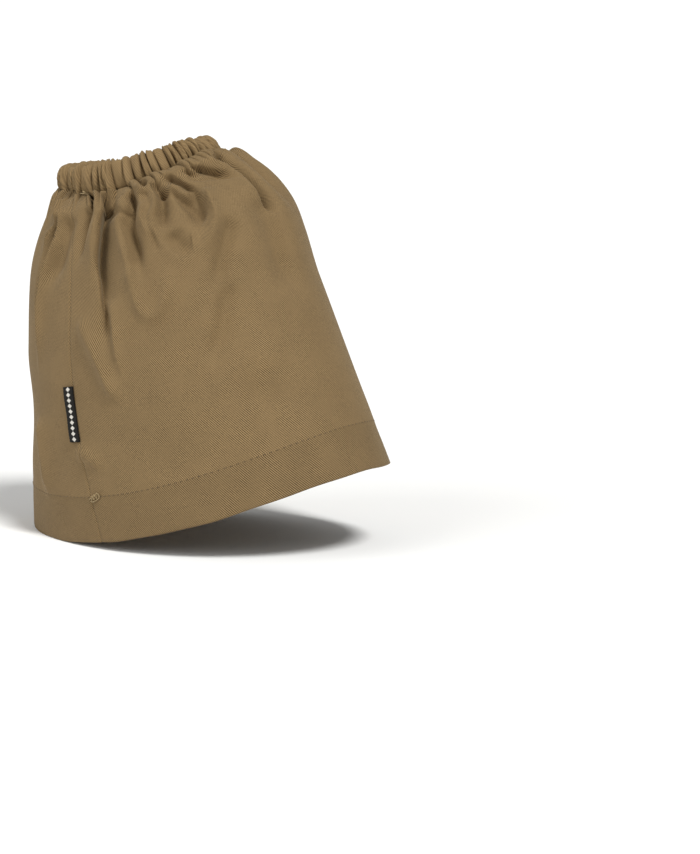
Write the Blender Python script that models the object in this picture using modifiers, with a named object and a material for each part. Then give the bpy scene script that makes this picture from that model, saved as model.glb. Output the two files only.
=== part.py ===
"""Boot cover: a tube of twill with a gathered elastic top and a turned-up hem.

The cloth is a rectangle wrapped round and closed by one side seam. It hangs in the form it has when
worn: an elastic casing grips the ankle, the shoulder puffs out under it, and the tube widens down to
the hem, which rises over the instep in front. +X points to the toe, +Z up, and the origin is the
centre of the elastic's grip.
"""

import bpy
import numpy as np

NAME = "boot_cover"
MM = 0.001

# Driving sizes, in mm
CLOTH = 1.3              # drawn thickness of one layer of twill
GAP = 0.3                # clearance between neighbouring pieces
PANEL_LENGTH = 150.0     # mean length of cloth from the casing's stitches to the hem's edge
HEM_DEPTH = 17.5
HEM_LAYERS = 2.2         # thickness of the turned-up hem, two layers pressed flat
ELASTIC_WIDTH = 5.0
ELASTIC_THICK = 1.2
LABEL_REACH = 6.2        # from the seam to the label's folded edge
LABEL_THICK = 0.8
LABEL_LIFT = 0.5         # how far its folded edge stands off the panel
LABEL_DOWN = (0.578, 0.735)  # its two ends, as shares of the way down the panel

PLEATS = 56              # gathers round the casing
PLEAT_HEIGHT = 1.1
PLEAT_AT_STITCH = 0.6    # share of that height where the stitches pinch the cloth
STITCH_PINCH = 0.02      # share of the panel over which that pinch opens
PLEAT_FADE = 0.055       # share of the panel over which the casing's pleats die out
COLUMNS_PER_PLEAT = 3

DIP_TOP = 7.5            # how far the sides of a ring hang below the line from back to front
DIP_HEM = 12.5
FAR_SIDE_LIFT = 0.8      # share of that dip which the far side of the hem doesn't have

SEAM_ANGLE = -101.0      # the seam at the hem, in degrees from the toe, seen from above
SEAM_SPREAD = 85.0       # degrees each side of the seam over which its lean is taken up

SECTION_COLUMNS = ("down", "back_x", "back_z", "front_x", "front_z", "half_width", "seam_lean")
SECTIONS = np.array((
    (0.00, -34.5, -9.5, 35.5, 4.0, 25.5, -14.0),     # casing's lower edge
    (0.05, -37.0, -15.5, 42.5, 8.0, 31.5, -12.0),    # puffed roll over the instep
    (0.12, -40.5, -25.0, 51.5, 3.0, 37.0, -8.5),     # shoulder
    (0.25, -47.5, -43.0, 68.5, -10.0, 43.0, -4.0),
    (0.48, -49.5, -78.0, 82.5, -41.5, 49.0, -4.0),
    (0.74, -48.0, -113.0, 99.5, -79.0, 52.2, -4.0),
    (1.00, -47.5, -151.5, 117.5, -116.5, 54.0, 0.0),  # hem's lower edge
))

# The casing's upper edge, as one more section
CREST = {"back_x": -35.0, "back_z": -2.6, "front_x": 30.6, "front_z": 11.3, "half_width": 24.3, "dip": 3.2}

# Casing's cross-section from the foot of its inner leg over the top to the foot of its outer leg:
# the share of the way up and the place outwards in mm, for the cloth's outer face (share, proud) and
# for its face in the channel (channel share, channel proud)
CASING_PROFILE = np.array((
    (0.00, -2.6, 0.00, -1.50),
    (0.30, -3.9, 0.18, -2.70),
    (0.88, -3.3, 0.81, -2.65),
    (1.00, -1.7, 0.87, -1.70),
    (0.88, -0.1, 0.81, -0.75),
    (0.30, 0.5, 0.18, -0.70),
    (0.00, 0.0, 0.00, -1.15),
))
CASING_HOLD = 0.045      # share of the panel over which it turns from the casing's slope to its own
CASING_BED = -1.7        # middle of the casing's channel, outwards from its outer face
INNER_PLEATS = 0.4       # height of the pleats on the casing's inner leg, as a share of the outer's
ELASTIC_SHARE = 0.48     # middle of the elastic, as a share of the casing's height
ELASTIC_ROOM = 0.56      # the most of the casing's height that the elastic takes
ELASTIC_COLUMNS = 84

PANEL_ROWS = (0.003, 0.02, 0.045, 0.075, 0.105, 0.14, 0.185, 0.24, 0.31, 0.41, 0.55, 0.72)
HEM_TOP = 1 - HEM_DEPTH / PANEL_LENGTH
HEM_ROWS = (0.45, 1.0)   # shares of the hem's depth
STEP = 1e-4              # step over which slopes are measured, in radians and in shares

# Each fold runs from one angle and share of the way down to another, in degrees from the toe, and
# has a half width and a height in mm, the share of its length where it is highest, and its bow
# sideways in mm: angle_1, down_1, angle_2, down_2, half_width, height, peak, bow
FOLDS = {
    # near side, from the seam towards the toe
    "back edge crease": (-133, 0.02, -128, 0.50, 4.0, 1.6, 0.35, 5.0),
    "back corner crease": (-148, 0.00, -142, 0.42, 5.0, 1.4, 0.30, 2.0),
    "seam hollow": (-113, 0.12, -113, 0.36, 6.0, -1.5, 0.55, 0.0),
    "seam trough": (-95, 0.03, -103, 0.30, 4.5, -2.4, 0.30, 0.0),
    "lap ridge": (-90, 0.03, -93, 0.36, 3.6, 1.0, 0.30, 0.0),
    "deep trough": (-84.5, 0.02, -87.5, 0.46, 3.8, -3.6, 0.35, 0.0),
    "puff": (-75, 0.02, -75, 0.15, 5.0, 2.2, 0.45, 0.0),
    "puff tail": (-79, 0.10, -76, 0.36, 4.5, 1.2, 0.30, 0.0),
    "middle trough": (-66, 0.05, -70, 0.30, 3.4, -2.6, 0.35, 0.0),
    "broad ridge": (-60, 0.03, -63, 0.34, 5.5, 1.3, 0.35, 0.0),
    "hooked trough": (-55, 0.04, -57, 0.24, 3.2, -2.4, 0.45, 0.0),
    "slanting trough": (-50, 0.05, -37, 0.20, 3.6, -2.8, 0.45, 0.0),
    "slanting tail": (-38, 0.16, -42, 0.34, 7.0, -1.2, 0.35, 0.0),
    "side roll": (-40, 0.05, -13, 0.15, 3.0, 1.2, 0.50, 0.0),
    "instep trough": (-34, 0.06, -8, 0.145, 3.6, -3.0, 0.45, 0.0),
    "instep roll": (-20, 0.05, -4, 0.17, 4.0, 1.8, 0.50, 0.0),
    "front edge crease": (-4, 0.10, 3, 0.40, 7.0, 1.5, 0.40, 0.0),
    "low hollow": (-37, 0.28, -42, 0.55, 12.0, -1.0, 0.40, 0.0),
    # far side, out of the photo's view
    "toe hollow": (13, 0.04, 12, 0.30, 5.0, -2.4, 0.35, 0.0),
    "toe ridge": (25, 0.04, 22, 0.36, 6.0, 1.6, 0.35, 0.0),
    "inner slant": (38, 0.04, 30, 0.24, 4.0, -2.6, 0.40, 0.0),
    "inner ridge": (50, 0.03, 46, 0.33, 6.0, 1.5, 0.35, 0.0),
    "inner trough": (63, 0.02, 61, 0.42, 3.6, -3.6, 0.35, 0.0),
    "inner puff": (75, 0.02, 74, 0.20, 5.5, 2.0, 0.40, 0.0),
    "long trough": (88, 0.02, 92, 0.36, 4.0, -3.0, 0.35, 0.0),
    "long ridge": (101, 0.03, 103, 0.40, 5.5, 1.4, 0.35, 0.0),
    "short trough": (115, 0.02, 113, 0.26, 4.0, -2.6, 0.40, 0.0),
    "heel ridge": (129, 0.02, 131, 0.42, 6.0, 1.5, 0.35, 0.0),
    "heel trough": (143, 0.02, 146, 0.34, 4.0, -2.8, 0.35, 0.0),
    "heel roll": (158, 0.02, 160, 0.36, 6.0, 1.4, 0.35, 0.0),
    "back trough": (174, 0.02, 176, 0.40, 4.5, -3.0, 0.35, 0.0),
    "back ridge": (-168, 0.02, -166, 0.32, 5.5, 1.4, 0.35, 0.0),
    "back hollow": (-157, 0.02, -158, 0.28, 4.0, -2.2, 0.35, 0.0),
    "heel sag": (-152, 0.50, -150, 0.84, 16.0, -1.6, 0.50, 0.0),
}
FOLD_TABLE = np.array(tuple(FOLDS.values()))

COLOURS = {               # linear base colours and roughness
    "twill": ((0.27, 0.19, 0.093, 1.0), 0.92),
    "hem twill": ((0.24, 0.17, 0.085, 1.0), 0.92),
    "elastic": ((0.72, 0.70, 0.66, 1.0), 0.80),
    "label": ((0.012, 0.012, 0.014, 1.0), 0.60),
}


def smooth_rows(knots, values, at):
    """Cubic curve through the rows, whose slope at each row comes from its two neighbours."""
    slopes = np.gradient(values, knots)
    row = np.clip(np.searchsorted(knots, at, side="right") - 1, 0, len(knots) - 2)
    span = knots[row + 1] - knots[row]
    t = (at - knots[row]) / span
    rise = values[row + 1] - values[row]
    bend_in = slopes[row] * span - rise
    bend_out = slopes[row + 1] * span - rise
    return values[row] + t * rise + t * (1 - t) * ((1 - t) * bend_in - t * bend_out)


def section(column, down):
    """One size of the tube at the given share of the way down the panel."""
    index = SECTION_COLUMNS.index(column)
    return smooth_rows(SECTIONS[:, 0], SECTIONS[:, index], down)


def ring(angle, back_x, back_z, front_x, front_z, half_width, dip):
    """An oval through the back and front points, whose sides hang down by the dip."""
    along = (1 + np.cos(angle)) / 2
    x = back_x + (front_x - back_x) * along
    y = half_width * np.sin(angle)
    z = back_z + (front_z - back_z) * along - dip * np.sin(angle) ** 2
    return np.stack(np.broadcast_arrays(x, y, z), axis=-1)


def base_panel(angle, down):
    """The tube's outer face before its folds."""
    dip = DIP_TOP + (DIP_HEM - DIP_TOP) * down
    dip = dip * np.where(np.sin(angle) > 0, 1 - FAR_SIDE_LIFT * down, 1.0)
    sizes = [section(name, down) for name in SECTION_COLUMNS[1:6]]
    return ring(angle, *sizes, dip)


def outward(face, angle, height):
    """Unit normals of a face given as a function of an angle and a height."""
    around = face(angle + STEP, height) - face(angle - STEP, height)
    downward = face(angle, height + STEP) - face(angle, height - STEP)
    normal = np.cross(downward, around)
    return normal / np.linalg.norm(normal, axis=-1, keepdims=True)


def casing_side(angle):
    """Foot and crest of the casing's outer side at an angle, and the way out, square to the side."""
    foot = base_panel(angle, np.zeros_like(angle))
    crest = ring(angle, *CREST.values())
    around = ring(angle + STEP, *CREST.values()) - crest
    out = np.cross(around, crest - foot)
    return foot, crest, out / np.linalg.norm(out, axis=-1, keepdims=True)


def panel_normals(angle, down):
    """Outward normals of the tube, turned to the casing's where the two are stitched together."""
    normal = outward(base_panel, angle, np.clip(down, STEP, 1 - STEP))
    turned = np.clip(down / CASING_HOLD, 0, 1)[..., None]
    normal = normal * turned + casing_side(angle)[2] * (1 - turned)
    return normal / np.linalg.norm(normal, axis=-1, keepdims=True)


def cloth_angle(turn, down):
    """Angle of the cloth that lies this share of a turn past the seam, equal lengths of an oval apart."""
    even = np.radians(SEAM_ANGLE) + 2 * np.pi * turn
    half_length = (section("front_x", down) - section("back_x", down)) / 2
    half_width = section("half_width", down)
    stretch = (half_length - half_width) / (half_length + half_width)
    from_seam = np.abs((turn + 0.5) % 1 - 0.5) * 360
    lean = np.cos(np.clip(from_seam / SEAM_SPREAD, 0, 1) * np.pi / 2) ** 2
    start = stretch / 2 * np.sin(2 * np.radians(SEAM_ANGLE))
    return even + stretch / 2 * np.sin(2 * even) - start + np.radians(section("seam_lean", down)) * lean


def pleat_phase(turn):
    """Pleats counted round from the seam, unevenly spaced."""
    sway = 0.30 * np.sin(2 * np.pi * 4 * turn + 0.6) + 0.16 * np.sin(2 * np.pi * 9 * turn + 2.1)
    start = 0.30 * np.sin(0.6) + 0.16 * np.sin(2.1)
    return PLEATS * turn + sway - start


def mean_radius(down):
    """Mean of the tube's half length and half width."""
    half_length = (section("front_x", down) - section("back_x", down)) / 2
    return (half_length + section("half_width", down)) / 2


def seam_columns():
    """Shares of a turn from the seam round to it, the same number in each pleat, which stop half a
    gap short of the seam."""
    fine = np.linspace(0, 1, 4001)
    phases = np.linspace(0, PLEATS, PLEATS * COLUMNS_PER_PLEAT + 1)
    turns = np.interp(phases, pleat_phase(fine), fine)
    short = GAP / 2 / (2 * np.pi * mean_radius(0.0))
    turns[0], turns[-1] = short, 1 - short
    return turns


def pleat_height(turn):
    """Height of the casing's pleats, lower where the cloth lies flatter."""
    strength = 0.78 + 0.22 * np.cos(2 * np.pi * 5 * turn + 1.0) * np.cos(2 * np.pi * 3 * turn)
    return PLEAT_HEIGHT * strength * (0.5 + 0.5 * np.cos(2 * np.pi * pleat_phase(turn)))


def fold_height(angle, down):
    """All named folds together: a bell across each fold, and a swell along it that peaks at its peak."""
    degrees = np.degrees(angle)
    radius = mean_radius(down)
    total = np.zeros(np.broadcast(angle, down).shape)
    for angle_1, down_1, angle_2, down_2, half_width, height, peak, bow in FOLD_TABLE:
        middle = (angle_1 + angle_2) / 2
        turned = (degrees - middle + 180) % 360 - 180
        across = np.radians(turned - (angle_1 - middle)) * radius
        below = (down - down_1) * PANEL_LENGTH
        run_across = np.radians(angle_2 - angle_1) * radius
        run_below = (down_2 - down_1) * PANEL_LENGTH
        length = np.hypot(run_across, run_below)
        along = (across * run_across + below * run_below) / length ** 2
        aside = (across * run_below - below * run_across) / length
        aside = aside - bow * 4 * along * (1 - along)
        swell = np.where(along < peak, 1 - along / peak, (along - peak) / (1 - peak))
        swell = np.cos(np.clip(np.abs(swell), 0, 1) * np.pi / 2) ** 2
        total = total + height * swell * np.exp(-(aside / half_width) ** 2)
    return total


def panel_face(turn, down, proud=0.0):
    """Outer face of the panel with its folds, moved out by the proud distance."""
    angle = cloth_angle(turn, down)
    swell = PLEAT_AT_STITCH + (1 - PLEAT_AT_STITCH) * np.clip(down / STITCH_PINCH, 0, 1)
    fade = swell * np.exp(-(down / PLEAT_FADE) ** 2)
    height = fold_height(angle, down) + pleat_height(turn) * fade + proud
    return base_panel(angle, down) + panel_normals(angle, down) * height[..., None]


def casing_face(turn, share, proud):
    """A point of the casing at this share of its height, moved out square to its slanting side."""
    foot, crest, out = casing_side(cloth_angle(turn, np.zeros_like(turn)))
    rise = crest - foot
    start = GAP / np.linalg.norm(rise, axis=-1, keepdims=True)
    return foot + rise * (start + (1 - start) * share[..., None]) + out * proud[..., None]


def material(name):
    """A plain finish in one of the named colours."""
    colour, roughness = COLOURS[name]
    finish = bpy.data.materials.new(name)
    finish.use_nodes = True
    shader = finish.node_tree.nodes["Principled BSDF"]
    shader.inputs["Base Color"].default_value = colour
    shader.inputs["Roughness"].default_value = roughness
    return finish


def new_object(name, points, faces, finish, collection):
    """A smooth-shaded mesh object from points in mm."""
    mesh = bpy.data.meshes.new(name)
    mesh.from_pydata((points.reshape(-1, 3) * MM).tolist(), [], faces.tolist())
    mesh.shade_smooth()
    mesh.materials.append(finish)
    piece = bpy.data.objects.new(name, mesh)
    collection.objects.link(piece)
    return piece


def quads_between(index, ahead):
    """Faces between each row and the one below it, from each column to the one ahead."""
    return np.stack((index[:-1], index[1:], ahead[1:], ahead[:-1]), axis=-1).reshape(-1, 4)


def sheet_object(name, grid, thickness, finish, collection, closed=False):
    """A sheet through a grid of points, rows by columns, thickened inwards to a wall."""
    rows, columns = grid.shape[:2]
    index = np.arange(rows * columns).reshape(rows, columns)
    ahead = np.roll(index, -1, axis=1)
    if not closed:
        index, ahead = index[:, :-1], ahead[:, :-1]
    piece = new_object(name, grid, quads_between(index, ahead), finish, collection)
    wall = piece.modifiers.new("wall", "SOLIDIFY")
    wall.thickness = thickness * MM
    wall.offset = -1.0
    return piece


def pleated_wall(name, outer, inner, finish, collection):
    """A wall lofted between two unlike faces, whose pleats are too tight to be thickened evenly."""
    rows, columns = outer.shape[:2]
    index = np.arange(2 * rows * columns).reshape(2 * rows, columns)
    loop = np.concatenate((index, index[:1]))
    faces = [quads_between(loop[:, :-1], loop[:, 1:])]
    for edge, sign in ((index[:, 0], 1), (index[:, -1], -1)):
        front, back = edge[:rows], edge[:rows - 1:-1]
        cap = np.stack((front[:-1], back[:-1], back[1:], front[1:]), axis=-1)
        faces.append(cap[:, ::sign])
    return new_object(name, np.concatenate((outer, inner[::-1])), np.concatenate(faces), finish, collection)


def make_panel(collection, finish):
    """Body panel, from the casing's stitches to the hem's stitches."""
    downs = np.array(PANEL_ROWS + (HEM_TOP - GAP / 2 / PANEL_LENGTH,))
    turn, down = np.meshgrid(seam_columns(), downs)
    outer = panel_face(turn, down)
    inner = panel_face(turn, down, -CLOTH)
    return pleated_wall("body_panel", outer, inner, finish, collection)


def make_hem(collection, finish):
    """Hem: the panel's lower edge, turned up inside and stitched."""
    downs = HEM_TOP + (1 - HEM_TOP) * np.array((GAP / 2 / HEM_DEPTH,) + HEM_ROWS)
    turn, down = np.meshgrid(seam_columns(), downs)
    return sheet_object("hem_band", panel_face(turn, down), HEM_LAYERS, finish, collection)


def make_casing(collection, finish):
    """Casing: cloth folded over the elastic, pleated on both of its legs."""
    turns = seam_columns()
    turn, share = np.meshgrid(turns, CASING_PROFILE[:, 0])
    channel_share = np.meshgrid(turns, CASING_PROFILE[:, 2])[1]
    proud = np.broadcast_to(CASING_PROFILE[:, 1:2], turn.shape)
    side = np.clip((proud - CASING_BED) / -CASING_BED, -INNER_PLEATS, 1)
    pinch = PLEAT_AT_STITCH + (1 - PLEAT_AT_STITCH) * (share > 0)
    pleats = pleat_height(turn) * side * pinch
    outer = casing_face(turn, share, proud + pleats)
    inner = casing_face(turn, channel_share, CASING_PROFILE[:, 3:4] + pleats)
    return pleated_wall("top_casing", outer, inner, finish, collection)


def make_elastic(collection, finish):
    """Elastic: a flat band joined into a ring, inside the casing."""
    turns = np.arange(ELASTIC_COLUMNS) / ELASTIC_COLUMNS
    turn, step = np.meshgrid(turns, (0.5, -0.5))
    angle = cloth_angle(turn, np.zeros_like(turn))
    foot, crest, _ = casing_side(angle)
    height = np.linalg.norm(crest - foot, axis=-1)
    share = ELASTIC_SHARE + step * np.minimum(ELASTIC_WIDTH, ELASTIC_ROOM * height) / height
    proud = np.full(turn.shape, CASING_BED + ELASTIC_THICK / 2)
    grid = casing_face(turn, share, proud)
    return sheet_object("elastic_band", grid, ELASTIC_THICK, finish, collection, closed=True)


def make_label(collection, finish):
    """Side label: a folded tape caught in the seam, lying back from it over the panel."""
    downs = np.linspace(*LABEL_DOWN, 8)
    turns = 1 - np.linspace(LABEL_REACH, GAP, 4) / (2 * np.pi * mean_radius(np.mean(LABEL_DOWN)))
    turn, down = np.meshgrid(turns, downs)
    lift = GAP + LABEL_THICK + LABEL_LIFT * (1 - turn) / (1 - turns[0])
    return sheet_object("side_label", panel_face(turn, down, lift), LABEL_THICK, finish, collection)


def main():
    """Clear the scene and make each piece of the cover."""
    for old in list(bpy.data.objects):
        bpy.data.objects.remove(old)
    collection = bpy.data.collections.new(NAME)
    bpy.context.scene.collection.children.link(collection)
    twill = material("twill")
    make_panel(collection, twill)
    make_casing(collection, twill)
    make_hem(collection, material("hem twill"))
    make_elastic(collection, material("elastic"))
    make_label(collection, material("label"))


main()
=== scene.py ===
"""Boot cover: the looks of a gathered twill tube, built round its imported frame.

The cloth is worked out as surfaces over two parameters: the share of a turn from the side seam and
the share of the way down from the casing's stitches to the hem's edge. All lengths inside the shape
functions are in mm, and the meshes are in metres. +X points to the toe, +Y to the inner side of the
leg and +Z up, and the origin is the centre of the elastic's grip.
"""

import math

import bpy
import numpy as np
from bpy.props import FloatProperty, FloatVectorProperty, IntProperty, PointerProperty
from mathutils import Matrix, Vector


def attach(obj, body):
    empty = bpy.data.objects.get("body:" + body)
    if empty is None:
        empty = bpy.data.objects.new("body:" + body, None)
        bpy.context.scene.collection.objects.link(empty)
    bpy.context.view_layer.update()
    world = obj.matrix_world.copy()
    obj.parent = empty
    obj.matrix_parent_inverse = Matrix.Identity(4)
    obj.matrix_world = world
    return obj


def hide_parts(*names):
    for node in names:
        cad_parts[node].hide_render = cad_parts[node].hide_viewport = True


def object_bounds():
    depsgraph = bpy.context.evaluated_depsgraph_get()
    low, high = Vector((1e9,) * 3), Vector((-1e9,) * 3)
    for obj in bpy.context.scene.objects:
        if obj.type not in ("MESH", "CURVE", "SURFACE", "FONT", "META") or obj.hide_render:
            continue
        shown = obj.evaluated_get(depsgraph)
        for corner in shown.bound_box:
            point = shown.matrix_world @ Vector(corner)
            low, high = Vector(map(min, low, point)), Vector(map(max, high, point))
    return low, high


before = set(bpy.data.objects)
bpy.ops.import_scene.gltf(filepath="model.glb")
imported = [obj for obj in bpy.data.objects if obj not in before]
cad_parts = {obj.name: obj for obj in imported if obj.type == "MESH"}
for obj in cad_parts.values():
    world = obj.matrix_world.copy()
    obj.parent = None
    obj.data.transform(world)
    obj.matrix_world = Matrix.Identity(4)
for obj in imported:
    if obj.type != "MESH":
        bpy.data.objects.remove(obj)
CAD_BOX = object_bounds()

bl_info = {
    "name": "Boot cover",
    "version": (1, 0, 0),
    "blender": (4, 5, 0),
    "location": "3D View > Sidebar > Boot cover",
    "description": "Builds a gathered twill boot cover with its casing, hem, label and sewing",
    "category": "Object",
}

MM = 0.001
BODY = "root"

# The cut of the cloth that shows, in mm
CUT_WIDTH = 445.0
PANEL_LENGTH = 150.0
HEM_DEPTH = 17.5
HEM_TOP = 1 - HEM_DEPTH / PANEL_LENGTH

# The tube's cross-sections: ovals through a back and a front point, with hanging sides
DIP_TOP = 7.5
DIP_HEM = 12.5
FAR_SIDE_LIFT = 0.8       # share of that dip which the far side of the hem doesn't have
SEAM_ANGLE = -101.0       # the seam at the hem, in degrees from the toe, seen from above
SEAM_SPREAD = 85.0        # degrees each side of the seam over which its lean is taken up
SECTION_COLUMNS = ("down", "back_x", "back_z", "front_x", "front_z", "half_width", "seam_lean")
SECTIONS = np.array((
    (0.00, -33.6, -9.6, 35.5, 4.0, 25.5, -14.0),     # casing's lower edge
    (0.05, -36.6, -15.5, 42.5, 7.0, 31.5, -12.0),    # puffed roll over the instep
    (0.12, -40.5, -25.0, 51.5, 3.0, 37.0, -8.5),     # shoulder
    (0.25, -47.5, -43.0, 68.5, -10.0, 43.0, -4.0),
    (0.48, -49.5, -78.0, 82.5, -41.5, 49.0, -4.0),
    (0.74, -48.0, -113.0, 99.5, -79.0, 52.2, -4.0),
    (1.00, -47.5, -151.5, 117.5, -116.5, 54.0, 0.0),  # hem's lower edge
))
# The same for the casing's upper edge
CREST = {
    "back_x": -33.8, "back_z": -2.8, "front_x": 29.6, "front_z": 11.3, "half_width": 24.3, "dip": 3.2,
}
CASING_HOLD = 0.045       # share of the panel over which it turns from the casing's slope to its own

# Gathers, as the widths in mm of the casing's pleats from the seam round the outer side to the toe
PLEATS_SEEN = (
    2.0, 5.4, 2.2, 2.6, 2.5, 2.5, 4.4, 2.4, 3.3, 2.1, 2.4, 3.4, 1.6,
    2.5, 1.9, 1.9, 1.8, 2.2, 2.8, 2.7, 1.9, 1.8, 2.3, 2.3, 2.3, 4.2,
)
PLEATS_AT_BACK = (3.1, 2.6, 3.8, 3.4)
FLAT_AT_BACK = 0.45       # height of these, as a share of the others'
FULL_PLEAT = 2.4          # a pleat this wide has its full height, and wider ones lie flatter
PLEAT_FLATNESS = 2.6      # how flat the ridges are, and how sharp the grooves
PANEL_GROOVE = 0.36       # share of a pleat's height that its grooves lie below the panel's own face
CASING_GROOVE = 0.3       # the same on the casing
BACK_REACH = 0.12         # they are shallower where 1 + cos of the angle is under about this
BACK_FLATNESS = 0.4       # share by which its ridges are lower there
SEEN_COLUMNS = 9          # columns in each pleat of the outer side
OTHER_COLUMNS = 5         # columns in each of the others
SEEN_PAST_TOE = 2         # pleats past the toe that still have the columns of the outer side
SEEN_PAST_SEAM = 8        # and pleats behind the seam
GROOVE_CROWDING = 0.09    # share of a pleat by which its columns move towards its grooves
FIRST_COLUMN = 0.04       # mm from the seam to the first column, and to the next ones
SEAM_COLUMNS = np.array((0.25, 0.55, 0.9))
PANEL_ROWS = 98
CUT_EDGE = 0.0006         # the last rows lie this share of the way from a cut edge, to keep it crisp
HALF_TURN = np.linspace(0, np.pi, 9)[1:-1]   # angles round a fold, without its two ends

# Casing's cross-section from the foot of its inner leg over the top to the foot of its outer leg:
# the share of the way up and the place outwards in mm
CASING_PROFILE = np.array((
    (0.00, -2.7), (0.08, -3.2), (0.30, -3.7), (0.60, -3.6), (0.85, -3.2), (0.97, -2.5),
    (1.00, -1.7), (0.97, -0.8), (0.85, -0.1), (0.60, 0.4), (0.30, 0.4), (0.10, 0.1), (0.00, -0.5),
))
CASING_ROWS = 34
CASING_SPAN = 400.0       # length round the casing over all its pleats, in mm
CASING_WRAP = 24.0        # length of its cloth from foot over the top to foot, in mm
CASING_SLANT = 0.004      # share of a turn by which its pleats lean back at the crest
CHANNEL_TURN = -1.7       # the casing's middle, outwards from its outer face
STITCH_BITE = 0.3         # how far the stitches draw the cloth in, in mm
SEAM_TUCK = 0.3           # how far the seam does, in mm
PUCKER = 0.22             # height of the hem's slanting puckers, in mm
HEM_PAINTED_SHADE = 0.9            # painted shade on the pressed double layer: its brightness, as a share of the panel's
CASING_PAINTED_LIGHT = 1.1         # and of the casing, whose ridges are drawn tight
CASING_RIBS = 0.3         # how clear the twill's ribs are there

# Hem and sewing, in mm where nothing else is said
HEM_LAYERS = 2.6          # the hem's thickness, in layers of cloth
HEM_ROWS = 12             # rows on its outside
HEM_INNER_ROWS = 10
HEM_OVERRUN = 0.02        # share of its depth that its turned-up edge reaches past the stitches
STITCH_SPAN = (0.1, 0.72)  # from where to where a stitch shows, as shares of its pitch
STITCH_POINTS = 9
STITCH_RISE = 0.2         # height of a stitch's middle over its ends
STITCH_SINK = 0.12        # depth of its ends in the cloth
LOOSE_THREAD = 1.4        # thickness of a loose thread, in sewn ones
THREAD_SIDES = 8
THREAD_TIP = 0.01         # radius of a thread's closed ends

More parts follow.
